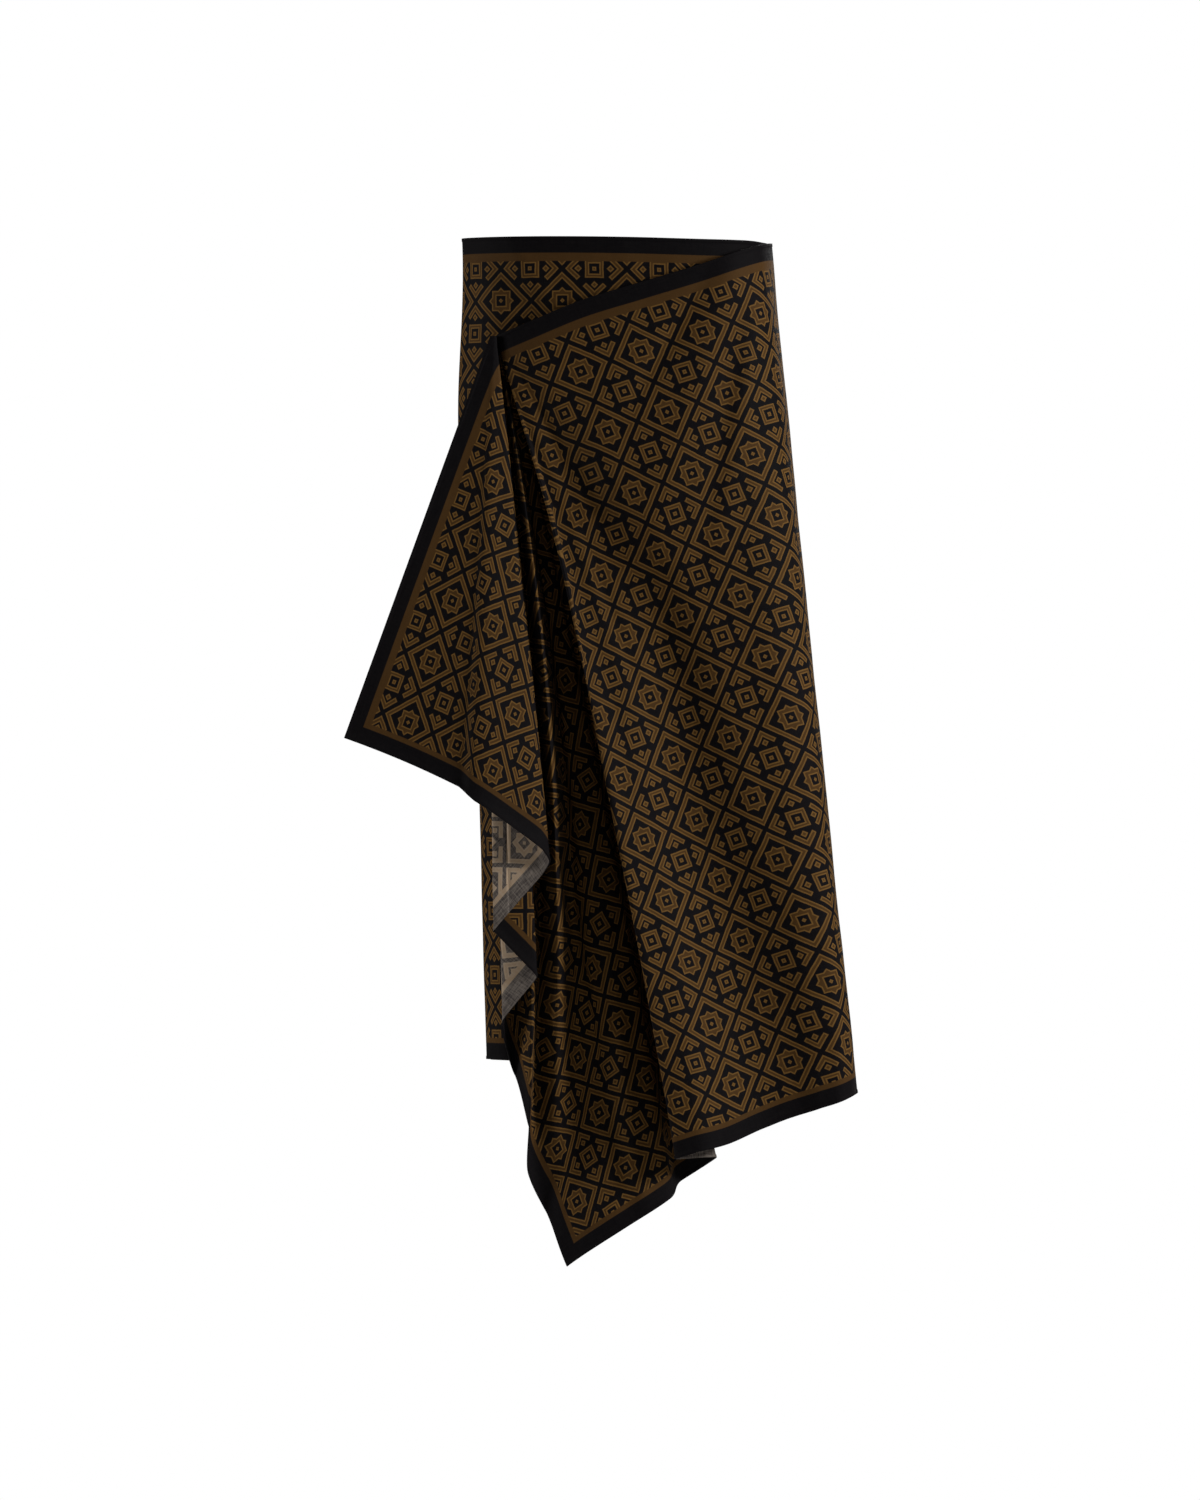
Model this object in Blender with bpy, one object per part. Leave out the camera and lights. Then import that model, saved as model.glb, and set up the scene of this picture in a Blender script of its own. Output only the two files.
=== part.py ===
"""Sarong: one hemmed rectangle of thin printed cloth, wrapped once and a half round the hips of an absent
wearer. The free end is gathered to one point on the left of the front, and falls from it in a cascade.

Metres, +Z up. The waist's top edge is at z = 0, its middle is the origin, and the viewer stands on -Y.
Every stretch of the cloth is a wall between two of the rulings below: straight lines of the cloth that run
down from the top hem. The cloth is not stretched along a ruling, so its far hem comes from the cut size."""

import math

import bmesh
import bpy
import numpy as np

# The cut rectangle: along the waist, and from the top hem to the bottom hem.
CLOTH_LENGTH = 1.80
CLOTH_DROP = 1.00
# How much of the top hem hangs free beyond the gathered point.
FREE_END = 0.515
GATHER_AT = CLOTH_LENGTH - FREE_END
WALL = 0.0012
SEAM_GAP = 0.0003

# The rulings in the order of the cloth, from the hidden start edge to the free end.
# x, y, z: the point on the top hem. far_x, far_y: the point where the ruling leaves the cloth.
# angle: degrees in the flat cloth between the ruling and the top hem's way to the free end.
# ease: length that shows for each metre of cloth. bow and lift: how far the middle swings to the right and
# to the viewer. hip: how far the wearer's hip pushes it out. steps: wall segments up to the next ruling.
COLUMNS = ("name", "x", "y", "z", "far_x", "far_y", "angle", "ease", "bow", "lift", "hip", "steps")
RULINGS = [
    ("start_edge", 0.18, -0.01, -0.006, 0.182, 0.016, 90.0, 0.99, 0, 0, 0, 3),
    ("under_right", 0.158, -0.044, -0.004, 0.158, -0.014, 90.0, 0.99, 0, 0, 0, 3),
    ("under_middle_right", 0.095, -0.074, -0.003, 0.095, -0.03, 90.0, 0.99, 0, 0, -0.006, 3),
    ("under_middle", 0.0, -0.087, -0.001, 0.005, -0.028, 90.0, 0.99, 0, 0, -0.01, 3),
    ("under_middle_left", -0.095, -0.076, 0.0, -0.08, -0.032, 90.0, 0.99, 0, 0, -0.01, 4),
    ("under_left", -0.16, -0.046, 0.0, -0.136, -0.03, 90.0, 0.99, 0, 0, 0.008, 3),
    ("left_side", -0.186, 0.0, 0.0, -0.157, 0.004, 90.0, 0.99, 0, 0, 0.013, 4),
    ("back_left", -0.162, 0.046, -0.002, -0.14, 0.052, 89.0, 0.99, 0, 0, 0.015, 9),
    ("back_middle_left", -0.098, 0.079, -0.005, -0.076, 0.09, 87.17, 0.9906, 0, 0, 0.018, 11),
    ("back_middle", 0.0, 0.092, -0.008, 0.05, 0.116, 83.32, 0.9906, 0, 0, 0.018, 11),
    ("back_middle_right", 0.098, 0.08, -0.009, 0.172, 0.12, 79.15, 0.9954, 0, 0, 0.014, 9),
    ("back_right", 0.162, 0.048, -0.0085, 0.252, 0.088, 77.14, 0.9931, 0, 0, 0.004, 4),
    ("right_side", 0.186, 0.0, -0.006, 0.2898, -0.05, 72.24, 0.9817, -0.002, 0, 0, 3),
    ("front_right", 0.172, -0.055, -0.0095, 0.279, -0.096, 72.82, 0.9889, 0, 0, 0.002, 2),
    ("front_turn", 0.146, -0.08, -0.018, 0.25, -0.106, 73.38, 0.9907, 0, 0, 0.004, 3),
    ("front_outer", 0.1, -0.092, -0.034, 0.213, -0.106, 74.11, 0.9901, 0, 0, 0.01, 4),
    ("front_middle", 0.028, -0.098, -0.056, 0.1735, -0.107, 75.85, 0.995, 0.003, 0, 0.015, 4),
    ("front_inner", -0.044, -0.097, -0.078, 0.133, -0.116, 77.33, 1.0014, 0.008, 0.002, 0.013, 3),
    ("front_roll", -0.105, -0.09, -0.103, 0.096, -0.128, 78.68, 0.9959, 0.012, 0.01, -0.006, 3),
    ("front_fold", -0.1432, -0.0735, -0.119, 0.07, -0.114, 79.18, 0.9932, 0.014, 0.037, -0.01, 4),
    ("hidden_fold", -0.1355, -0.0696, -0.119, 0.119, -0.078, 75.73, 0.9877, 0.012, 0.006, 0, 3),
    ("deep_trough", -0.14, -0.0665, -0.12, 0.076, -0.046, 72.3, 0.9896, 0.012, 0, 0, 3),
    ("fall_swell", -0.1415, -0.068, -0.12, 0.063, -0.078, 70.17, 0.9931, 0.012, -0.004, 0, 3),
    ("fall_face", -0.143, -0.0682, -0.12, 0.004, -0.088, 66.55, 0.9947, 0.018, -0.006, 0, 3),
    ("fall_corner", -0.1445, -0.0668, -0.12, -0.06, -0.07, 62.76, 0.996, 0.038, 0, 0, 3),
    ("fall_ridge", -0.1455, -0.0678, -0.12, -0.084, -0.055, 60.8, 1.0, 0.037, 0.057, 0, 3),
    ("fall_dip", -0.1465, -0.0668, -0.12, -0.106, -0.072, 59.2, 1.0, 0.032, 0, 0, 3),
    ("fall_crease", -0.1475, -0.0678, -0.12, -0.105, -0.102, 57.2, 1.0, 0.018, 0, 0, 3),
    ("fall_tuck", -0.1484, -0.0666, -0.12, -0.122, -0.068, 54.6, 1.0, 0.006, 0, 0, 4),
    ("fourth_fold", -0.15, -0.069, -0.12, -0.137, -0.094, 51.2, 1.0, -0.002, 0, 0, 4),
    ("third_fold", -0.1474, -0.0716, -0.12, -0.096, -0.107, 48.1, 1.0, 0.004, 0, 0, 4),
    ("second_fold", -0.1505, -0.0737, -0.12, -0.1476, -0.118, 43.9, 1.0, -0.002, 0, 0, 5),
    ("first_fold_back", -0.1468, -0.0752, -0.12, -0.0895, -0.1205, 37.6, 1.0, 0.002, 0, 0, 3),
    ("first_fold", -0.1455, -0.0768, -0.12, -0.0804, -0.127, 35.9, 1.0, 0.002, 0, 0, 3),
    ("first_fold_front", -0.1462, -0.0784, -0.12, -0.0885, -0.135, 34.05, 1.0, 0.002, 0, 0, 3),
    ("flap_rise", -0.1468, -0.079, -0.12, -0.118, -0.1465, 30.4, 1.002, 0, 0, 0, 3),
    ("flap_bend", -0.148, -0.0793, -0.12, -0.171, -0.158, 23.5, 1.003, 0, 0, 0, 3),
    ("flap_slope", -0.1495, -0.0795, -0.12, -0.189, -0.1465, 19.2, 1.002, 0, 0, 0, 3),
    ("flap_middle", -0.1508, -0.0793, -0.12, -0.258, -0.138, 9.6, 1.002, 0, 0, 0, 3),
    ("free_hem", -0.152, -0.079, -0.12, -0.3264, -0.14, 0.0, 1.003, 0, 0, 0, 0),
]

# Soft flutes of the lower back, where the cloth is fuller than the form that carries it.
# at: metres of far hem from the left side. half_width and depth in metres, depth out of the back.
# begins: the share of the drop at which the flute starts.
FLUTES = [
    # at, half_width, depth, begins
    (0.075, 0.050, 0.026, 0.36),
    (0.145, 0.045, -0.024, 0.46),
    (0.220, 0.052, 0.034, 0.28),
    (0.295, 0.046, -0.030, 0.40),
    (0.370, 0.050, 0.036, 0.20),
    (0.440, 0.042, -0.022, 0.36),
]

# A broad trough of the outer front fans out from the gathered point, and turns from its near shape to its far one
# between two distances from there. at and half_width: degrees in the flat cloth from the top hem's way back.
# depth: the trough's depth for each metre from the gathered point.
TROUGH_NEAR = (83.6, 11.0, 0.041)
TROUGH_FAR = (90.8, 7.6, 0.018)
TROUGH_TURNS = (0.28, 0.68)

# The hip's fullest line and its spread, down the cloth from the top hem, and how fast it sets in.
HIP_HEIGHT = 0.25
HIP_SPREAD = 0.17
HIP_START = 0.10
# Points down each ruling, set closer towards the top. The fold shapes are spaced out at this share of the fall.
STATIONS = 15
STATION_CROWDING = 1.25
FOLD_LEVEL = 0.6


def column(name):
    return np.array([row[COLUMNS.index(name)] for row in RULINGS], float)


def row_of(name):
    return [row[0] for row in RULINGS].index(name)


def cloth_reach(top, angle):
    """Length of the flat cloth from a point on the top hem to the far hem or the free end."""
    to_bottom = CLOTH_DROP / np.maximum(np.sin(angle), 1e-9)
    to_end = (CLOTH_LENGTH - top) / np.maximum(np.cos(angle), 1e-9)
    return np.minimum(to_bottom, to_end)


def spline(points, knots, steps):
    """A smooth curve through the points: non-uniform Catmull-Rom, with the given segments in each interval."""
    slopes = np.empty_like(points)
    gaps = np.diff(knots)[:, None]
    chords = np.diff(points, axis=0) / gaps
    slopes[0], slopes[-1] = chords[0], chords[-1]
    around = (points[2:] - points[:-2]) / (gaps[1:] + gaps[:-1])
    slopes[1:-1] = chords[1:] - around + chords[:-1]
    curve = []
    for k in range(len(points) - 1):
        last = k == len(points) - 2
        for t in np.arange(steps[k] + last) / steps[k]:
            start = (1 + 2 * t) * (1 - t) ** 2 * points[k] + t * t * (3 - 2 * t) * points[k + 1]
            bend = t * (1 - t) ** 2 * slopes[k] - t * t * (1 - t) * slopes[k + 1]
            curve.append(start + bend * gaps[k])
    return np.array(curve)


def travelled(curve):
    return np.concatenate([[0], np.cumsum(np.linalg.norm(np.diff(curve, axis=0), axis=1))])


def smooth(value):
    value = np.clip(value, 0, 1)
    return value * value * (3 - 2 * value)


def bow_shape(share):
    return 4 * share * (1 - share)


def cloth_surface():
    """Places the whole cloth. Returns points and their flat cloth positions, both by ruling and station,
    and the index of each named ruling."""
    steps = column("steps")[:-1].astype(int)
    marks = np.concatenate([[0], np.cumsum(steps)])
    tops = np.stack([column("x"), column("y"), column("z")], axis=1)
    angles = np.radians(column("angle"))
    gather = row_of("front_fold")

    # Top hem: metres of cloth from the start edge, spread over the wrap as the hem really runs.
    hem = travelled(tops)
    hem_at = np.where(np.arange(len(tops)) < gather, hem / hem[gather] * GATHER_AT, GATHER_AT)
    reach = cloth_reach(hem_at, angles) * column("ease")
    lean = np.stack([column("far_x") - tops[:, 0], column("far_y") - tops[:, 1]], axis=1) / reach[:, None]
    middle = tops[:, :2] + FOLD_LEVEL * reach[:, None] * lean
    knots = np.concatenate([[0], np.cumsum(np.sqrt(np.linalg.norm(np.diff(middle, axis=0), axis=1)))])
    table = np.column_stack([tops, lean, column("bow"), column("lift"), column("hip"), column("ease")])
    fine = spline(table, knots, steps)
    tops, lean = fine[:, :3], fine[:, 3:5]
    bow, lift, hip, ease = fine[:, 5:].T

    # Between two named rulings the flat angle follows the distance along the folds.
    level = np.column_stack([tops[:, :2] + FOLD_LEVEL * lean, tops[:, 2] * 0])
    along = travelled(level)
    angles = np.interp(along, along[marks], angles)
    hem = travelled(tops)
    first_fan = marks[gather]
    hem_at = np.where(np.arange(len(tops)) < first_fan, hem / hem[first_fan] * GATHER_AT, GATHER_AT)
    cloth = cloth_reach(hem_at, angles)
    down = -np.sqrt(1 - (lean**2).sum(axis=1))
    way = np.column_stack([lean, down])

    outward = np.gradient(level[:, :2], axis=0)
    outward = np.column_stack([-outward[:, 1], outward[:, 0]])
    outward /= np.maximum(np.linalg.norm(outward, axis=1), 1e-9)[:, None]

    on_outer_front = (np.arange(len(tops)) >= marks[row_of("right_side")]) & (np.arange(len(tops)) <= first_fan)
    share = np.linspace(0, 1, STATIONS) ** STATION_CROWDING
    points = np.empty((len(tops), STATIONS, 3))
    flat = np.empty((len(tops), STATIONS, 2))
    far_along = travelled(tops + way * (cloth * ease)[:, None])
    far_along -= far_along[marks[row_of("left_side")]]
    for j, part in enumerate(share):
        depth = part * cloth
        points[:, j] = tops + way * (depth * ease)[:, None]
        points[:, j, 0] += bow * bow_shape(part)
        points[:, j, 1] -= lift * bow_shape(part)
        swell = hip * np.exp(-(((depth - HIP_HEIGHT) / HIP_SPREAD) ** 2)) * (1 - np.exp(-((depth / HIP_START) ** 2)))
        swell += flute(far_along, part, marks)
        flat[:, j, 0] = hem_at + depth * np.cos(angles)
        flat[:, j, 1] = depth * np.sin(angles)
        swell -= trough(flat[:, j]) * on_outer_front
        points[:, j, :2] += outward * swell[:, None]
    return points, flat, {row[0]: mark for row, mark in zip(RULINGS, marks)}


def flute(far_along, part, marks):
    """How far the back's flutes push each ruling out at this share of its length."""
    push = np.zeros(len(far_along))
    left, right = marks[row_of("left_side")], marks[row_of("right_side")]
    inside = np.arange(left, right + 1)
    for at, half_width, depth, begins in FLUTES:
        near = np.clip(np.abs(far_along[inside] - at) / half_width, 0, 1)
        push[inside] += depth * (0.5 + 0.5 * np.cos(math.pi * near)) * smooth((part - begins) / (1 - begins))
    return push


def trough(flat):
    """Depth of the outer front's trough at flat cloth positions."""
    distance = np.hypot(GATHER_AT - flat[:, 0], flat[:, 1])
    angle = np.degrees(np.arctan2(flat[:, 1], GATHER_AT - flat[:, 0]))
    turned = smooth((distance - TROUGH_TURNS[0]) / (TROUGH_TURNS[1] - TROUGH_TURNS[0]))
    at, half_width, depth = ((1 - turned) * near + turned * far for near, far in zip(TROUGH_NEAR, TROUGH_FAR))
    aside = np.clip(np.abs(angle - at) / half_width, 0, 1)
    return depth * distance * (0.5 + 0.5 * np.cos(math.pi * aside))


def normals_of(points):
    """Unit normals on the printed side, from the neighbouring points."""
    across = np.gradient(points, axis=0)
    down = np.gradient(points, axis=1)
    normal = np.cross(across, down)
    return normal / np.maximum(np.linalg.norm(normal, axis=2), 1e-12)[:, :, None]


def printed_cotton():
    """Black cloth with a brown print, a little sheen."""
    material = bpy.data.materials.new("printed_cotton")
    material.use_nodes = True
    shader = material.node_tree.nodes["Principled BSDF"]
    shader.inputs["Base Color"].default_value = (0.055, 0.034, 0.018, 1)
    shader.inputs["Roughness"].default_value = 0.62
    shader.inputs["Metallic"].default_value = 0.0
    return material


def cloth_wall(name, printed, plain, material):
    """One closed wall. A grid takes the printed side, and is extruded to the plain side."""
    rulings, stations = printed.shape[:2]
    bm = bmesh.new()
    bmesh.ops.create_grid(bm, x_segments=rulings - 1, y_segments=stations - 1, size=1)
    ruling_of = bm.verts.layers.int.new("ruling")
    station_of = bm.verts.layers.int.new("station")
    for vert in bm.verts:
        vert[ruling_of] = round((vert.co.x + 1) / 2 * (rulings - 1))
        vert[station_of] = round((vert.co.y + 1) / 2 * (stations - 1))
        vert.co = printed[vert[ruling_of], vert[station_of]]
    made = bmesh.ops.extrude_face_region(bm, geom=bm.faces[:], use_keep_orig=True)
    for vert in (v for v in made["geom"] if isinstance(v, bmesh.types.BMVert)):
        vert.co = plain[vert[ruling_of], vert[station_of]]
    bmesh.ops.recalc_face_normals(bm, faces=bm.faces[:])
    if bm.calc_volume(signed=True) < 0:
        bmesh.ops.reverse_faces(bm, faces=bm.faces[:])
    bmesh.ops.triangulate(bm, faces=bm.faces[:])
    mesh = bpy.data.meshes.new(name)
    bm.to_mesh(mesh)
    bm.free()
    mesh.shade_smooth()
    mesh.materials.append(material)
    wall = bpy.data.objects.new(name, mesh)
    bpy.context.scene.collection.objects.link(wall)
    return wall


# The stretches of the wound cloth. Each seam lies on a level part: a named ruling, and wall segments past it.
STRETCHES = [
    # name, first ruling, segments past it, last ruling, segments past it
    ("under_front", "start_edge", 0, "left_side", 0),
    ("back", "left_side", 0, "right_side", 0),
    ("outer_front", "right_side", 0, "front_fold", 2),
    ("gathered_fall", "front_fold", 2, "fall_tuck", 2),
    ("cascade_folds", "fall_tuck", 2, "second_fold", 2),
    ("corner_flap", "second_fold", 2, "free_hem", 0),
]


def build():
    for old in list(bpy.data.objects):
        bpy.data.objects.remove(old)
    points, _, mark = cloth_surface()
    normals = normals_of(points)
    across = np.gradient(points, axis=0)
    across /= np.maximum(np.linalg.norm(across, axis=2), 1e-12)[:, :, None]
    material = printed_cotton()
    for name, begin, past_begin, end, past_end in STRETCHES:
        first, last = mark[begin] + past_begin, mark[end] + past_end
        sheet = points[first : last + 1].copy()
        if first > 0:
            sheet[0] += across[first] * SEAM_GAP / 2
        if last < len(points) - 1:
            sheet[-1] -= across[last] * SEAM_GAP / 2
        half = normals[first : last + 1] * WALL / 2
        cloth_wall(name, sheet + half, sheet - half, material)


build()
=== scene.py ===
import math

import bmesh
import bpy
import numpy as np
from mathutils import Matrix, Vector, noise


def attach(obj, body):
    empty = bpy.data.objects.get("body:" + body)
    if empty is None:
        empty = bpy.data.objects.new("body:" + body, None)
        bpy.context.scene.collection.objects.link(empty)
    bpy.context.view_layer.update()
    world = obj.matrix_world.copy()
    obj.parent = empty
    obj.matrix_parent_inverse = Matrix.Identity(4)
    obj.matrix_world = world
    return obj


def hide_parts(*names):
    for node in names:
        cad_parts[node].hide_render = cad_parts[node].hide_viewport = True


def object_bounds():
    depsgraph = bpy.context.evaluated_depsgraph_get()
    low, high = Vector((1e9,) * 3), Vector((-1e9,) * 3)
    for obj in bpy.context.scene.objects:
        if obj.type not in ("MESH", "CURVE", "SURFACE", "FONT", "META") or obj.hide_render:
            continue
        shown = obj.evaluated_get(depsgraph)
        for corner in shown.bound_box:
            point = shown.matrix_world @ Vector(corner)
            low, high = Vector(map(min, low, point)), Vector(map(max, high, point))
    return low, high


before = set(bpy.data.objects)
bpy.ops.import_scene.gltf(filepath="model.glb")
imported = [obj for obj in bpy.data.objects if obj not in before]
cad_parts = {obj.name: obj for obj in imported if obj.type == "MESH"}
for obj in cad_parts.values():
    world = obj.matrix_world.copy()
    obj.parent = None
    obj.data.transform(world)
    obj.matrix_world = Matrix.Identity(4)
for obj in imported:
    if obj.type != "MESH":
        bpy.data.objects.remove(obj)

cad_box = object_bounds()


# The cloth
# One rectangle of fine printed cotton, 1.00 m by 1.80 m, wound once and a half round the hips. Its free end is
# gathered at one point of the top hem, on the left of the front, and falls from there in folds.
# It is drawn along its rulings: straight lines of the cloth that run down from the top hem.

CLOTH_LENGTH = 1.80
CLOTH_DROP = 1.00
FREE_END = 0.515
GATHER_AT = CLOTH_LENGTH - FREE_END

# x, y, z: the ruling's point on the top hem. far_x, far_y: where it leaves the cloth.
# angle: degrees in the flat cloth between the ruling and the top hem's way to the free end.
# ease: length that shows for each metre of cloth. bow and lift: how far the middle swings to the right and
# to the viewer. hip: how far the wearer's hip pushes it out. steps: divisions of the wall up to the next ruling.
COLUMNS = ("name", "x", "y", "z", "far_x", "far_y", "angle", "ease", "bow", "lift", "hip", "steps")
RULINGS = [
    ("start_edge", 0.18, -0.01, -0.006, 0.182, 0.016, 90.0, 0.99, 0, 0, 0, 3),
    ("under_right", 0.158, -0.044, -0.004, 0.158, -0.014, 90.0, 0.99, 0, 0, 0, 3),
    ("under_middle_right", 0.095, -0.074, -0.003, 0.095, -0.03, 90.0, 0.99, 0, 0, -0.006, 3),
    ("under_middle", 0.0, -0.087, -0.001, 0.005, -0.028, 90.0, 0.99, 0, 0, -0.01, 3),
    ("under_middle_left", -0.095, -0.076, 0.0, -0.08, -0.032, 90.0, 0.99, 0, 0, -0.01, 4),
    ("under_left", -0.16, -0.046, 0.0, -0.136, -0.03, 90.0, 0.99, 0, 0, 0.008, 3),
    ("left_side", -0.186, 0.0, 0.0, -0.157, 0.004, 90.0, 0.99, 0, 0, 0.013, 4),
    ("back_left", -0.162, 0.046, -0.002, -0.14, 0.052, 89.0, 0.99, 0, 0, 0.015, 9),
    ("back_middle_left", -0.098, 0.079, -0.005, -0.076, 0.09, 87.17, 0.9906, 0, 0, 0.018, 11),
    ("back_middle", 0.0, 0.092, -0.008, 0.05, 0.116, 83.32, 0.9906, 0, 0, 0.018, 11),
    ("back_middle_right", 0.098, 0.08, -0.009, 0.172, 0.12, 79.15, 0.9954, 0, 0, 0.014, 9),
    ("back_right", 0.162, 0.048, -0.0085, 0.252, 0.088, 77.14, 0.9931, 0, 0, 0.004, 4),
    ("right_side", 0.186, 0.0, -0.006, 0.2898, -0.05, 72.24, 0.9817, -0.002, 0, 0, 3),
    ("front_right", 0.172, -0.055, -0.0095, 0.279, -0.096, 72.82, 0.9889, 0, 0, 0.002, 2),
    ("front_turn", 0.146, -0.08, -0.018, 0.25, -0.106, 73.38, 0.9907, 0, 0, 0.004, 3),
    ("front_outer", 0.1, -0.092, -0.034, 0.213, -0.106, 74.11, 0.9901, 0, 0, 0.01, 4),
    ("front_middle", 0.028, -0.098, -0.056, 0.1735, -0.107, 75.85, 0.995, 0.003, 0, 0.015, 4),
    ("front_inner", -0.044, -0.097, -0.078, 0.133, -0.116, 77.33, 1.0014, 0.008, 0.002, 0.013, 3),
    ("front_roll", -0.105, -0.09, -0.103, 0.096, -0.128, 78.68, 0.9959, 0.012, 0.01, -0.006, 3),
    ("front_fold", -0.1432, -0.0735, -0.119, 0.07, -0.114, 79.18, 0.9932, 0.014, 0.037, -0.01, 4),
    ("hidden_fold", -0.1355, -0.0696, -0.119, 0.119, -0.078, 75.73, 0.9877, 0.012, 0.006, 0, 3),
    ("deep_trough", -0.14, -0.0665, -0.12, 0.076, -0.046, 72.3, 0.9896, 0.012, 0, 0, 3),
    ("fall_swell", -0.1415, -0.068, -0.12, 0.063, -0.078, 70.17, 0.9931, 0.012, -0.004, 0, 3),
    ("fall_face", -0.143, -0.0682, -0.12, 0.004, -0.088, 66.55, 0.9947, 0.018, -0.006, 0, 3),
    ("fall_corner", -0.1445, -0.0668, -0.12, -0.06, -0.07, 62.76, 0.996, 0.038, 0, 0, 3),
    ("fall_ridge", -0.1455, -0.0678, -0.12, -0.084, -0.055, 60.8, 1.0, 0.037, 0.057, 0, 3),
    ("fall_dip", -0.1465, -0.0668, -0.12, -0.106, -0.072, 59.2, 1.0, 0.032, 0, 0, 3),
    ("fall_crease", -0.1475, -0.0678, -0.12, -0.105, -0.102, 57.2, 1.0, 0.018, 0, 0, 3),
    ("fall_tuck", -0.1484, -0.0666, -0.12, -0.122, -0.068, 54.6, 1.0, 0.006, 0, 0, 4),
    ("fourth_fold", -0.15, -0.069, -0.12, -0.137, -0.094, 51.2, 1.0, -0.002, 0, 0, 4),
    ("third_fold", -0.1474, -0.0716, -0.12, -0.096, -0.107, 48.1, 1.0, 0.004, 0, 0, 4),
    ("second_fold", -0.1505, -0.0737, -0.12, -0.1476, -0.118, 43.9, 1.0, -0.002, 0, 0, 5),
    ("first_fold_back", -0.1468, -0.0752, -0.12, -0.0895, -0.1205, 37.6, 1.0, 0.002, 0, 0, 3),
    ("first_fold", -0.1455, -0.0768, -0.12, -0.0804, -0.127, 35.9, 1.0, 0.002, 0, 0, 3),
    ("first_fold_front", -0.1462, -0.0784, -0.12, -0.0885, -0.135, 34.05, 1.0, 0.002, 0, 0, 3),
    ("flap_rise", -0.1468, -0.079, -0.12, -0.118, -0.1465, 30.4, 1.002, 0, 0, 0, 3),
    ("flap_bend", -0.148, -0.0793, -0.12, -0.171, -0.158, 23.5, 1.003, 0, 0, 0, 3),
    ("flap_slope", -0.1495, -0.0795, -0.12, -0.189, -0.1465, 19.2, 1.002, 0, 0, 0, 3),
    ("flap_middle", -0.1508, -0.0793, -0.12, -0.258, -0.138, 9.6, 1.002, 0, 0, 0, 3),
    ("free_hem", -0.152, -0.079, -0.12, -0.3264, -0.14, 0.0, 1.003, 0, 0, 0, 0),
]

# Soft flutes of the lower back. at: metres of far hem from the left side. half_width and depth in metres.
# begins: the share of the drop at which the flute starts.
FLUTES = [
    # at, half_width, depth, begins
    (0.075, 0.050, 0.026, 0.36),
    (0.145, 0.045, -0.024, 0.46),
    (0.220, 0.052, 0.034, 0.28),
    (0.295, 0.046, -0.030, 0.40),
    (0.370, 0.050, 0.036, 0.20),
    (0.440, 0.042, -0.022, 0.36),
]

# A broad trough of the outer front fans out from the gathered point, and turns from its near shape to its far one
# between two distances from there. at and half_width: degrees in the flat cloth from the top hem's way back.
# depth: the trough's depth for each metre from the gathered point.
TROUGH_NEAR = (83.6, 11.0, 0.041)
TROUGH_FAR = (90.8, 7.6, 0.018)
TROUGH_TURNS = (0.28, 0.68)

# The hip's fullest line and its spread, down the cloth from the top hem, and how fast it sets in.
HIP_HEIGHT = 0.25
HIP_SPREAD = 0.17
HIP_START = 0.10
FOLD_LEVEL = 0.6

# The look is drawn this many times finer than the solids, with rows crowded into the turned hems.
FINER = 4
STATIONS = 96
STATION_CROWDING = 1.15
HEM_ROWS = (0.0006, 0.0015, 0.0026, 0.0034, 0.0044, 0.0060, 0.0090)
CLEAR_OF_HEM = HEM_ROWS[-1] * 1.5


def column(name):
    return np.array([row[COLUMNS.index(name)] for row in RULINGS], float)


def row_of(name):
    return [row[0] for row in RULINGS].index(name)


def travelled(curve):
    return np.concatenate([[0], np.cumsum(np.linalg.norm(np.diff(curve, axis=0), axis=1))])


def smooth(value):
    value = np.clip(value, 0, 1)
    return value * value * (3 - 2 * value)


def hill(aside):
    """A rounded hill: 1 in its middle, and 0 from 1 on."""
    return 0.5 + 0.5 * np.cos(math.pi * np.clip(aside, 0, 1))


def cloth_reach(top, angle):
    """Length of the flat cloth from a point on the top hem to the far hem or the free end."""
    to_bottom = CLOTH_DROP / np.maximum(np.sin(angle), 1e-9)
    to_end = (CLOTH_LENGTH - top) / np.maximum(np.cos(angle), 1e-9)
    return np.minimum(to_bottom, to_end)


def spline(points, knots, parts):
    """A smooth curve through the points: non-uniform Catmull-Rom, cut at the given parts of each interval."""
    gaps = np.diff(knots)[:, None]
    chords = np.diff(points, axis=0) / gaps
    slopes = np.empty_like(points)
    slopes[0], slopes[-1] = chords[0], chords[-1]
    around = (points[2:] - points[:-2]) / (gaps[1:] + gaps[:-1])
    slopes[1:-1] = chords[1:] - around + chords[:-1]
    curve = []
    for k, cuts in enumerate(parts):
        for t in cuts:
            chord = (1 + 2 * t) * (1 - t) ** 2 * points[k] + t * t * (3 - 2 * t) * points[k + 1]
            bend = t * (1 - t) ** 2 * slopes[k] - t * t * (1 - t) * slopes[k + 1]
            curve.append(chord + bend * gaps[k])
    return np.array(curve)


def flute(far_along, part, inside):
    """How far the back's flutes push each ruling out at this share of its length."""
    push = np.zeros(len(far_along))
    for at, half_width, depth, begins in FLUTES:
        aside = np.abs(far_along[inside] - at) / half_width
        push[inside] += depth * hill(aside) * smooth((part - begins) / (1 - begins))
    return push


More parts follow.
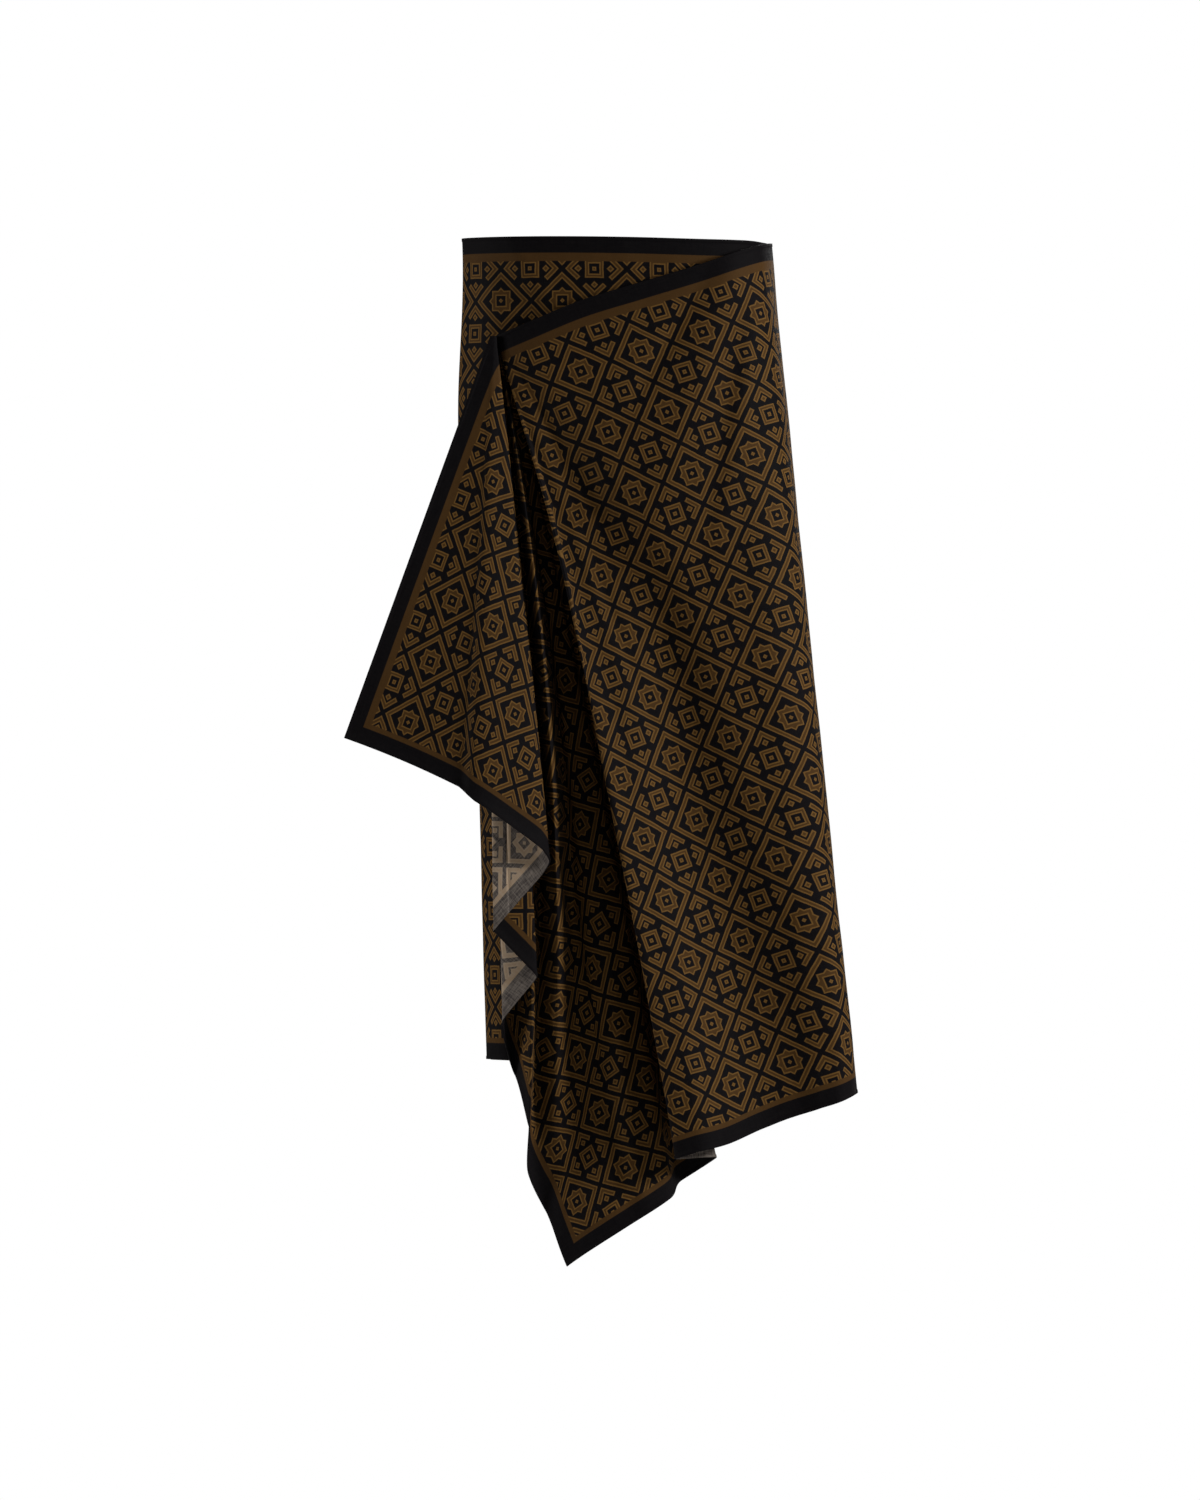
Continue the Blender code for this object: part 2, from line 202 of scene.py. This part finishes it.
def trough(flat):
    """Depth of the outer front's trough at flat cloth positions."""
    distance = np.hypot(GATHER_AT - flat[:, 0], flat[:, 1])
    angle = np.degrees(np.arctan2(flat[:, 1], GATHER_AT - flat[:, 0]))
    turned = smooth((distance - TROUGH_TURNS[0]) / (TROUGH_TURNS[1] - TROUGH_TURNS[0]))
    at, half_width, depth = ((1 - turned) * near + turned * far for near, far in zip(TROUGH_NEAR, TROUGH_FAR))
    return depth * distance * hill(np.abs(angle - at) / half_width)


def wound_cloth():
    """Places the whole cloth. Returns its points and their flat cloth positions, both by ruling and station,
    and the index of each named ruling."""
    steps = (column("steps")[:-1] * FINER).astype(int)
    parts = [np.arange(count) / count for count in steps]
    last_strip = FREE_END / 2 * math.sin(math.radians(column("angle")[-2]))
    free_hem_rows = 1 - np.array(HEM_ROWS)[::-1] / last_strip
    parts[-1] = np.concatenate([parts[-1][parts[-1] < free_hem_rows[0]], free_hem_rows, [1]])
    marks = np.concatenate([[0], np.cumsum([len(cuts) for cuts in parts])])
    marks[-1] -= 1
    tops = np.stack([column("x"), column("y"), column("z")], axis=1)
    angles = np.radians(column("angle"))
    gather = row_of("front_fold")

    hem = travelled(tops)
    hem_at = np.where(np.arange(len(tops)) < gather, hem / hem[gather] * GATHER_AT, GATHER_AT)
    reach = cloth_reach(hem_at, angles) * column("ease")
    lean = np.stack([column("far_x") - tops[:, 0], column("far_y") - tops[:, 1]], axis=1) / reach[:, None]
    middle = tops[:, :2] + FOLD_LEVEL * reach[:, None] * lean
    knots = np.concatenate([[0], np.cumsum(np.sqrt(np.linalg.norm(np.diff(middle, axis=0), axis=1)))])
    table = np.column_stack([tops, lean, column("bow"), column("lift"), column("hip"), column("ease")])
    fine = spline(table, knots, parts)
    tops, lean = fine[:, :3], fine[:, 3:5]
    bow, lift, hip, ease = fine[:, 5:].T

    level = np.column_stack([tops[:, :2] + FOLD_LEVEL * lean, tops[:, 2] * 0])
    along = travelled(level)
    angles = np.interp(along, along[marks], angles)
    hem = travelled(tops)
    first_fan = marks[gather]
    hem_at = np.where(np.arange(len(tops)) < first_fan, hem / hem[first_fan] * GATHER_AT, GATHER_AT)
    cloth = cloth_reach(hem_at, angles)
    way = np.column_stack([lean, -np.sqrt(1 - (lean**2).sum(axis=1))])

    outward = np.gradient(level[:, :2], axis=0)
    outward = np.column_stack([-outward[:, 1], outward[:, 0]])
    outward /= np.maximum(np.linalg.norm(outward, axis=1), 1e-9)[:, None]

    rows = np.linspace(0, 1, STATIONS) ** STATION_CROWDING
    rows = rows[(rows > CLEAR_OF_HEM) & (rows < 1 - CLEAR_OF_HEM)]
    share = np.concatenate([[0], HEM_ROWS, rows, 1 - np.array(HEM_ROWS)[::-1], [1]])
    points = np.empty((len(tops), len(share), 3))
    flat = np.empty((len(tops), len(share), 2))
    far_along = travelled(tops + way * (cloth * ease)[:, None])
    far_along -= far_along[marks[row_of("left_side")]]
    back = np.arange(marks[row_of("left_side")], marks[row_of("right_side")] + 1)
    on_outer_front = (np.arange(len(tops)) >= back[-1]) & (np.arange(len(tops)) <= first_fan)
    for j, part in enumerate(share):
        depth = part * cloth
        points[:, j] = tops + way * (depth * ease)[:, None]
        points[:, j, 0] += bow * 4 * part * (1 - part)
        points[:, j, 1] -= lift * 4 * part * (1 - part)
        swell = hip * np.exp(-(((depth - HIP_HEIGHT) / HIP_SPREAD) ** 2)) * (1 - np.exp(-((depth / HIP_START) ** 2)))
        swell += flute(far_along, part, back)
        flat[:, j, 0] = hem_at + depth * np.cos(angles)
        flat[:, j, 1] = depth * np.sin(angles)
        swell -= trough(flat[:, j]) * on_outer_front
        points[:, j, :2] += outward * swell[:, None]
    return points, flat, {row[0]: mark for row, mark in zip(RULINGS, marks)}


def normals_of(points):
    """Unit normals on the printed side, from the neighbouring points."""
    normal = np.cross(np.gradient(points, axis=0), np.gradient(points, axis=1))
    return normal / np.maximum(np.linalg.norm(normal, axis=2), 1e-12)[:, :, None]


cloth_points, cloth_flat, ruling_mark = wound_cloth()
cloth_normals = normals_of(cloth_points)


# The printed cotton
# A fine plain-woven cotton voile, dyed black and printed in brown with ochre outlines on one side.
# The print comes through paler on the other side. The pattern follows the cloth's own metres, in its UV map.

# The print in metres: the lattice's cell, the black band along the hems, the brown stripe inside it, and the
# softness of the stripe's edge. The motifs' edges wander a little, at two scales.
LATTICE = 0.078
HEM_BAND = 0.020
TOP_STRIPE = 0.010
SIDE_STRIPE = 0.006
STRIPE_EDGE = 0.0005
WANDER = 0.0016
WANDER_SCALES = (70.0, 57.0)

# The motifs in lattice cells, from a cell's centre. A line has its middle and half its width.
FRAME_AT, FRAME_LINE = 0.400, 0.052
FRAME_OPENING = 0.090
STAR_SQUARE, STAR_LOZENGE, STAR_HOLLOW, STAR_HEART = 0.210, 0.222, 0.110, 0.036
DIAMOND_AT, DIAMOND_LINE, DIAMOND_HEART = 0.158, 0.046, 0.044
BLOCK_AT, BLOCK_HALF = 0.250, 0.056
OUTLINE_WIDTH = 0.028
INK_EDGE = 0.006

# The brown is cloudy: how often it changes, its detail, and its share darker and lighter.
CLOUDS = (24.0, 4.0)
CLOUD_SHARE = 0.14

# The weave: a thread and its neighbour, slubs along both threads, and how much each of them shows.
THREAD = 0.00042
SLUB_LENGTH = 9.0
SLUBS = (60.0, 3.0)
THREAD_CONTRAST = 0.10
SLUB_CONTRAST = 3.5
THREAD_BASE = 0.35
BARE_THREAD = (176, 164, 150)
WOVEN_HEIGHT, SLUB_HEIGHT, STITCH_DEPTH = 0.5, 0.7, 1.5
BUMP_STRENGTH, BUMP_DISTANCE = 0.35, 0.00012
ROUGH, SLUB_ROUGH = 0.56, 0.16

# The hem is turned over twice to this depth. A row of stitches holds it there.
TURNED_HEM = 0.0032
STITCH_LENGTH = 0.0028
STITCH_WIDTH = 0.0006
STITCH_EDGE = 0.3


def from_srgb(red, green, blue):
    """A display colour of 0 to 255 as the linear colour of a shader."""
    return tuple(((c / 255 + 0.055) / 1.055) ** 2.4 if c > 10 else c / 255 / 12.92 for c in (red, green, blue)) + (1,)


class Weave:
    """A material's nodes, and short names for joining them."""

    def __init__(self, name):
        self.material = bpy.data.materials.new(name)
        self.material.use_nodes = True
        self.nodes = self.material.node_tree.nodes
        self.links = self.material.node_tree.links
        self.shader = self.nodes["Principled BSDF"]

    def put(self, value, socket):
        if isinstance(value, bpy.types.NodeSocket):
            self.links.new(value, socket)
        else:
            socket.default_value = value

    def math(self, operation, *values):
        node = self.nodes.new("ShaderNodeMath")
        node.operation = operation
        for value, socket in zip(values, node.inputs):
            self.put(value, socket)
        return node.outputs[0]

    def least(self, first, *others):
        for other in others:
            first = self.math("MINIMUM", first, other)
        return first

    def most(self, first, *others):
        for other in others:
            first = self.math("MAXIMUM", first, other)
        return first

    def line(self, value, at, half_width):
        """Negative where the value is within half a width of the line's middle."""
        return self.math("SUBTRACT", self.math("ABSOLUTE", self.math("SUBTRACT", value, at)), half_width)

    def ramp(self, value, low, high):
        """0 below low and 1 above high, smooth between."""
        node = self.nodes.new("ShaderNodeMapRange")
        node.interpolation_type = "SMOOTHSTEP"
        for given, name in ((value, "Value"), (low, "From Min"), (high, "From Max")):
            self.put(given, node.inputs[name])
        return node.outputs["Result"]

    def within(self, distance, limit):
        """1 up to the limit and 0 past it, with a thin soft edge."""
        return self.ramp(distance, limit + STRIPE_EDGE, limit - STRIPE_EDGE)

    def mix(self, share, first, second):
        node = self.nodes.new("ShaderNodeMix")
        node.data_type = "RGBA"
        self.put(share, node.inputs["Factor"])
        self.put(first, node.inputs[6])
        self.put(second, node.inputs[7])
        return node.outputs[2]

    def speckle(self, vector, scale, detail=2.0):
        node = self.nodes.new("ShaderNodeTexNoise")
        self.put(vector, node.inputs["Vector"])
        node.inputs["Scale"].default_value = scale
        node.inputs["Detail"].default_value = detail
        return node.outputs["Fac"]


def lozenge_print(w, along, across):
    """Signed distance to the print's edge, in lattice cells and negative inside the motif. Framed eight-point
    stars take turns with open frames that hold a diamond and four corner blocks."""
    a = w.math("ABSOLUTE", w.math("SUBTRACT", w.math("FRACT", along), 0.5))
    b = w.math("ABSOLUTE", w.math("SUBTRACT", w.math("FRACT", across), 0.5))
    wide = w.most(a, b)
    narrow = w.least(a, b)
    slant = w.math("MULTIPLY", w.math("ADD", a, b), math.sqrt(0.5))

    frame_line = w.line(wide, FRAME_AT, FRAME_LINE)
    star = w.least(w.math("SUBTRACT", wide, STAR_SQUARE), w.math("SUBTRACT", slant, STAR_LOZENGE))
    star = w.most(star, w.math("SUBTRACT", STAR_HOLLOW, slant))
    starred = w.least(frame_line, star, w.math("SUBTRACT", wide, STAR_HEART))

    open_frame = w.most(frame_line, w.math("SUBTRACT", FRAME_OPENING, narrow))
    diamond = w.line(slant, DIAMOND_AT, DIAMOND_LINE)
    diamond_heart = w.math("SUBTRACT", slant, DIAMOND_HEART)
    blocks = w.most(w.line(a, BLOCK_AT, BLOCK_HALF), w.line(b, BLOCK_AT, BLOCK_HALF))
    framed = w.least(open_frame, diamond, blocks, diamond_heart)

    row = w.math("ADD", w.math("FLOOR", along), w.math("FLOOR", across))
    odd = w.math("FLOORED_MODULO", row, 2.0)
    even = w.math("SUBTRACT", 1.0, odd)
    return w.math("ADD", w.math("MULTIPLY", odd, framed), w.math("MULTIPLY", even, starred))


def printed_cotton(name, ground, motif, outline, thread_shows):
    """One side of the cloth. thread_shows is how much the single threads lighten and darken it."""
    w = Weave(name)
    uv = w.nodes.new("ShaderNodeUVMap")
    uv.uv_map = "cloth"
    parts = w.nodes.new("ShaderNodeSeparateXYZ")
    w.links.new(uv.outputs["UV"], parts.inputs[0])
    u, v = parts.outputs["X"], parts.outputs["Y"]

    drawn = []
    for straight, scale in zip((u, v), WANDER_SCALES):
        astray = w.math("SUBTRACT", w.speckle(uv.outputs["UV"], scale), 0.5)
        drawn.append(w.math("ADD", straight, w.math("MULTIPLY", astray, WANDER)))
    along = w.math("DIVIDE", w.math("ADD", *drawn), LATTICE)
    across = w.math("DIVIDE", w.math("SUBTRACT", *drawn), LATTICE)
    edge = lozenge_print(w, along, across)

    inked = w.ramp(edge, INK_EDGE, -INK_EDGE)
    filled = w.ramp(edge, INK_EDGE - OUTLINE_WIDTH, -INK_EDGE - OUTLINE_WIDTH)
    cloudy = w.speckle(uv.outputs["UV"], *CLOUDS)
    darker, lighter = (tuple(c * tone for c in motif[:3]) + (1,) for tone in (1 - CLOUD_SHARE, 1 + CLOUD_SHARE))
    motif_tone = w.mix(cloudy, darker, lighter)
    colour = w.mix(inked, ground, outline)
    colour = w.mix(filled, colour, motif_tone)

    from_end = w.math("SUBTRACT", CLOTH_LENGTH, u)
    from_bottom = w.math("SUBTRACT", CLOTH_DROP, v)
    from_side = w.least(from_end, from_bottom, u)
    from_edge = w.least(from_side, v)
    in_stripe = w.most(w.within(v, HEM_BAND + TOP_STRIPE), w.within(from_side, HEM_BAND + SIDE_STRIPE))
    colour = w.mix(in_stripe, colour, motif_tone)
    colour = w.mix(w.within(from_edge, HEM_BAND), colour, ground)

    warp = w.math("SINE", w.math("MULTIPLY", u, 2 * math.pi / THREAD))
    weft = w.math("SINE", w.math("MULTIPLY", v, 2 * math.pi / THREAD))
    woven = w.math("MULTIPLY", warp, weft)
    slubs = []
    for stretch in ((1.0, SLUB_LENGTH, 1.0), (SLUB_LENGTH, 1.0, 1.0)):
        stretched = w.nodes.new("ShaderNodeVectorMath")
        stretched.operation = "MULTIPLY"
        w.links.new(uv.outputs["UV"], stretched.inputs[0])
        stretched.inputs[1].default_value = stretch
        slubs.append(w.speckle(stretched.outputs[0], *SLUBS))
    slub = w.math("MULTIPLY", w.math("ADD", *slubs), 0.5)
    slub_tone = w.math("MULTIPLY", w.math("SUBTRACT", slub, 0.5), SLUB_CONTRAST)
    thread_tone = w.math("ADD", w.math("MULTIPLY", woven, THREAD_CONTRAST), slub_tone)
    bared = w.math("MULTIPLY", w.math("ADD", thread_tone, THREAD_BASE), thread_shows)
    colour = w.mix(w.most(bared, 0.0), colour, from_srgb(*BARE_THREAD))
    w.put(colour, w.shader.inputs["Base Color"])

    from_seam = w.math("ABSOLUTE", w.math("SUBTRACT", from_edge, TURNED_HEM))
    stitch_row = w.math("SUBTRACT", 1.0, w.ramp(from_seam, 0.0, STITCH_WIDTH))
    hem_way = w.math("ADD", u, v)
    dash = w.math("SINE", w.math("MULTIPLY", hem_way, 2 * math.pi / STITCH_LENGTH))
    stitches = w.math("MULTIPLY", stitch_row, w.ramp(dash, -STITCH_EDGE, STITCH_EDGE))
    height = w.math("ADD", w.math("MULTIPLY", woven, WOVEN_HEIGHT), w.math("MULTIPLY", slub, SLUB_HEIGHT))
    height = w.math("SUBTRACT", height, w.math("MULTIPLY", stitches, STITCH_DEPTH))
    bump = w.nodes.new("ShaderNodeBump")
    bump.inputs["Strength"].default_value = BUMP_STRENGTH
    bump.inputs["Distance"].default_value = BUMP_DISTANCE
    w.links.new(height, bump.inputs["Height"])
    w.links.new(bump.outputs["Normal"], w.shader.inputs["Normal"])

    w.put(w.math("ADD", ROUGH, w.math("MULTIPLY", slub, SLUB_ROUGH)), w.shader.inputs["Roughness"])
    w.shader.inputs["Specular IOR Level"].default_value = 0.03
    w.shader.inputs["Sheen Weight"].default_value = 0.02
    w.shader.inputs["Sheen Roughness"].default_value = 0.45
    w.shader.inputs["Sheen Tint"].default_value = (0.80, 0.74, 0.68, 1)
    return w.material


printed_side = printed_cotton(
    "printed_side", ground=from_srgb(14, 12, 14), motif=from_srgb(71, 49, 24), outline=from_srgb(106, 77, 38),
    thread_shows=0.006,
)
plain_side = printed_cotton(
    "plain_side", ground=from_srgb(70, 64, 62), motif=from_srgb(156, 133, 108), outline=from_srgb(164, 142, 117),
    thread_shows=0.42,
)


# The wall of the cloth
# The cotton is under a millimetre thick. Its edge is turned over twice and sewn, so the last 3 mm are thicker.
# Each stretch is a grid that takes the printed side, extruded to the plain side.

HALF_THICK = 0.00038
HALF_HEM = 0.00095
HEM_STEP = 0.001
SEAM_GAP = 0.00012

# The cotton's slack: its height, and how often it changes along the hem and down the cloth, broad and fine.
# The gathered point pulls the cloth smooth up to a distance.
LIVELY = 0.0011
BROAD_SLACK = (13, 6, 1.7)
FINE_SLACK = (34, 15, 4.1)
FINE_SHARE = 0.35
PULLED_SMOOTH = 0.45


def distance_to_hem(flat):
    u, v = flat[:, :, 0], flat[:, :, 1]
    return np.minimum.reduce([u, v, CLOTH_LENGTH - u, CLOTH_DROP - v])


def wrinkle_height(flat, wrinkles):
    """Height of soft ridges. Each runs straight in the flat cloth, from u, v to to_u, to_v, and dies out at
    its ends."""
    height = np.zeros(flat.shape[:2])
    for u, v, to_u, to_v, width, rise in wrinkles:
        way = np.array([to_u - u, to_v - v])
        length = np.linalg.norm(way)
        way /= length
        from_start = flat - np.array([u, v])
        along = from_start @ way
        aside = from_start @ np.array([-way[1], way[0]])
        fade = np.sin(math.pi * np.clip(along / length, 0, 1))
        height += rise * fade * np.exp(-((aside / width) ** 2))
    return height


def liveliness(flat):
    """Slack of the cotton: slow hollows a few centimetres wide, none where the folds are gathered."""
    from_gather = np.linalg.norm(flat - np.array([GATHER_AT, 0.0]), axis=2)
    loose = smooth(from_gather / PULLED_SMOOTH)
    slack = np.empty(flat.shape[:2])
    for index in np.ndindex(slack.shape):
        u, v = flat[index]
        broad, fine = (
            noise.noise(Vector((u * along, v * down, layer))) for along, down, layer in (BROAD_SLACK, FINE_SLACK)
        )
        slack[index] = broad + FINE_SHARE * fine
    return slack * loose * LIVELY


def cloth_stretch(name, first, past_first, last, past_last, wrinkles=(), lively=1.0):
    """The wall between two rulings, with its UV map in metres of the cut cloth."""
    start, end = ruling_mark[first] + past_first * FINER, ruling_mark[last] + past_last * FINER
    part = slice(start, end + 1)
    sheet, flat, normal = cloth_points[part].copy(), cloth_flat[part], cloth_normals[part]
    lift = wrinkle_height(flat, wrinkles) + lively * liveliness(flat)
    across = np.gradient(sheet, axis=0)
    across /= np.maximum(np.linalg.norm(across, axis=2), 1e-12)[:, :, None]
    if start > 0:
        sheet[0] += across[0] * SEAM_GAP
    if end < len(cloth_points) - 1:
        sheet[-1] -= across[-1] * SEAM_GAP
    turned = 1 - smooth((distance_to_hem(flat) - TURNED_HEM) / HEM_STEP)
    half = HALF_THICK + (HALF_HEM - HALF_THICK) * turned
    printed = sheet + normal * (lift + half)[:, :, None]
    plain = sheet + normal * (lift - half)[:, :, None]

    rulings, stations = flat.shape[:2]
    bm = bmesh.new()
    bmesh.ops.create_grid(bm, x_segments=rulings - 1, y_segments=stations - 1, size=1)
    ruling_of = bm.verts.layers.int.new("ruling")
    station_of = bm.verts.layers.int.new("station")
    for vert in bm.verts:
        vert[ruling_of] = round((vert.co.x + 1) / 2 * (rulings - 1))
        vert[station_of] = round((vert.co.y + 1) / 2 * (stations - 1))
    made = bmesh.ops.extrude_face_region(bm, geom=bm.faces[:], use_keep_orig=True)
    plain_verts = {v for v in made["geom"] if isinstance(v, bmesh.types.BMVert)}
    plain_faces = {f for f in made["geom"] if isinstance(f, bmesh.types.BMFace)}
    for vert in bm.verts:
        side = plain if vert in plain_verts else printed
        vert.co = side[vert[ruling_of], vert[station_of]]
    bmesh.ops.recalc_face_normals(bm, faces=bm.faces[:])
    if bm.calc_volume(signed=True) < 0:
        bmesh.ops.reverse_faces(bm, faces=bm.faces[:])
    cloth_uv = bm.loops.layers.uv.new("cloth")
    for face in bm.faces:
        face.material_index = 1 if face in plain_faces else 0
        face.smooth = True
        for loop in face.loops:
            loop[cloth_uv].uv = flat[loop.vert[ruling_of], loop.vert[station_of]]
    mesh = bpy.data.meshes.new(name)
    bm.to_mesh(mesh)
    bm.free()
    mesh.materials.append(printed_side)
    mesh.materials.append(plain_side)
    stretch = bpy.data.objects.new(name, mesh)
    bpy.context.scene.collection.objects.link(stretch)
    return stretch, flat


def cut_size(flat):
    """The flat piece's width and length, square to its middle ruling, and its area, in metres."""
    middle = flat[len(flat) // 2]
    way = middle[-1] - middle[0]
    way /= np.linalg.norm(way)
    corners = flat.reshape(-1, 2)
    width = np.ptp(corners @ np.array([-way[1], way[0]]))
    length = np.ptp(corners @ way)
    one, two = flat[1:, 1:] - flat[:-1, :-1], flat[1:, :-1] - flat[:-1, 1:]
    area = np.abs(one[:, :, 0] * two[:, :, 1] - one[:, :, 1] * two[:, :, 0]).sum() / 2
    return float(width), float(length), float(area)


def hang(stretch, flat, node):
    width, length, area = cut_size(flat)
    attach(stretch, "root")
    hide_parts(node)


# The under front
# The first stretch of the cloth, from its hidden start edge across the front to the left side. Its straight
# top hem makes the waist line, and its left strip shows below the flap.

under_front, under_front_flat = cloth_stretch(
    "under_front_cloth", "start_edge", 0, "left_side", 0,
    wrinkles=[
        # u, v, to_u, to_v, width, rise
        (0.372, -0.050, 0.240, 0.155, 0.011, 0.0030),
        (0.410, -0.030, 0.270, 0.150, 0.012, -0.0018),
        (0.230, -0.040, 0.150, 0.120, 0.012, 0.0014),
    ],
)
hang(under_front, under_front_flat, "under_front")


# The back
# The cloth goes on round the wearer's back, over the fullness of the hips. It is wider at the bottom than the
# form that carries it, so it hangs in soft flutes there.

back, back_flat = cloth_stretch("back_cloth", "left_side", 0, "right_side", 0)
hang(back, back_flat, "back")


# The outer front
# The second layer over the front, pulled up from the right side to the gathered point. Its left edge rolls
# under along a long fold.

outer_front, outer_front_flat = cloth_stretch(
    "outer_front_cloth", "right_side", 0, "front_fold", 2,
    wrinkles=[
        # u, v, to_u, to_v, width, rise
        (0.960, -0.030, 1.240, 0.330, 0.022, 0.0036),
        (1.000, 0.000, 1.210, 0.170, 0.011, -0.0042),
        (0.940, -0.020, 1.200, 0.400, 0.015, -0.0026),
        (0.930, -0.010, 1.150, 0.350, 0.013, 0.0024),
        (1.230, 0.030, 1.330, 0.420, 0.016, 0.0025),
        (1.180, 0.060, 1.250, 0.520, 0.022, -0.0016),
        (1.278, 0.020, 1.305, 0.620, 0.008, -0.0013),
    ],
)
hang(outer_front, outer_front_flat, "outer_front")


# The gathered fall
# Beside the rolled edge the same cotton falls in long shallow folds from the gathered point, which alone holds
# it, to the lowest corner of the cut.

gathered_fall, gathered_fall_flat = cloth_stretch(
    "gathered_fall_cloth", "front_fold", 2, "fall_tuck", 2,
    wrinkles=[
        # u, v, to_u, to_v, width, rise
        (1.500, 0.520, 1.710, 1.060, 0.014, 0.0060),
        (1.560, 0.470, 1.720, 1.080, 0.012, -0.0050),
    ],
    lively=0.8,
)
hang(gathered_fall, gathered_fall_flat, "gathered_fall")


# The cascade folds
# Stepped folds of the free end, one lying on the other and held at the gathered point. The plain side of the
# cotton shows where they turn back.

cascade_folds, cascade_folds_flat = cloth_stretch(
    "cascade_folds_cloth", "fall_tuck", 2, "second_fold", 2, lively=0.5
)
hang(cascade_folds, cascade_folds_flat, "cascade_folds")


# The corner flap
# The last of the free end, with the upper corner of the cloth and a turned hem on both its edges. It lies over
# the folds and hangs out to the left.

corner_flap, corner_flap_flat = cloth_stretch(
    "corner_flap_cloth", "second_fold", 2, "free_hem", 0, lively=0.6
)
hang(corner_flap, corner_flap_flat, "corner_flap")


# The studio
# A plain pale floor below the hanging cloth, a soft light from the upper right, a weaker one from the left and
# one from behind.

FLOOR_BELOW = 0.42
FLOOR_HALF = 1.2
SURROUND_LIGHT = 0.10
LIGHTS = [
    # name, place, aimed at, size, watts
    ("key_light", (3.8, -1.8, 0.9), (0.0, -0.05, -0.60), 0.9, 185),
    ("left_light", (-3.6, -0.5, 0.3), (0.0, -0.05, -0.6), 1.2, 70),
    ("back_light", (1.0, 3.2, 1.4), (0.0, 0.0, -0.6), 2.2, 110),
]

floor_mesh = bpy.data.meshes.new("floor")
floor_bm = bmesh.new()
bmesh.ops.create_grid(floor_bm, x_segments=1, y_segments=1, size=FLOOR_HALF)
bmesh.ops.translate(floor_bm, vec=(0, 0, cad_box[0].z - FLOOR_BELOW), verts=floor_bm.verts)
floor_bm.to_mesh(floor_mesh)
floor_bm.free()
floor = bpy.data.objects.new("floor", floor_mesh)
bpy.context.scene.collection.objects.link(floor)
floor_finish = bpy.data.materials.new("pale_floor")
floor_finish.use_nodes = True
floor_shader = floor_finish.node_tree.nodes["Principled BSDF"]
floor_shader.inputs["Base Color"].default_value = (0.86, 0.86, 0.85, 1)
floor_shader.inputs["Roughness"].default_value = 0.9
floor_mesh.materials.append(floor_finish)

for name, place, aim, size, watts in LIGHTS:
    light_data = bpy.data.lights.new(name, "AREA")
    light_data.shape = "DISK"
    light_data.size = size
    light_data.energy = watts
    light = bpy.data.objects.new(name, light_data)
    light.location = place
    light.rotation_euler = (Vector(aim) - Vector(place)).to_track_quat("-Z", "Y").to_euler()
    bpy.context.scene.collection.objects.link(light)

# The white surround shows as white, and gives the cloth only a weak light.
world = bpy.data.worlds.new("studio")
world.use_nodes = True
surround = world.node_tree
background = surround.nodes["Background"]
background.inputs["Color"].default_value = (1.0, 1.0, 1.0, 1)
seen = surround.nodes.new("ShaderNodeLightPath")
strength = surround.nodes.new("ShaderNodeMapRange")
strength.inputs["To Min"].default_value = SURROUND_LIGHT
strength.inputs["To Max"].default_value = 1.0
surround.links.new(seen.outputs["Is Camera Ray"], strength.inputs["Value"])
surround.links.new(strength.outputs["Result"], background.inputs["Strength"])
bpy.context.scene.world = world
bpy.context.scene.view_settings.view_transform = "Standard"


# The camera
# A long lens level with the middle of the cloth. The frame is 1.44 m wide and 1.80 m high at the cloth.

FRAME_HEIGHT = 1.80
FRAME_MIDDLE = (-0.0204, -0.6168)
CLOTH_FRONT = -0.08
LENS = 300
camera_data = bpy.data.cameras.new("camera")
camera_data.lens = LENS
camera_data.clip_end = 100
camera_distance = FRAME_HEIGHT * LENS / camera_data.sensor_width
camera = bpy.data.objects.new("camera", camera_data)
camera.location = (FRAME_MIDDLE[0], CLOTH_FRONT - camera_distance, FRAME_MIDDLE[1])
camera.rotation_euler = (math.radians(90), 0, 0)
bpy.context.scene.collection.objects.link(camera)
bpy.context.scene.camera = camera
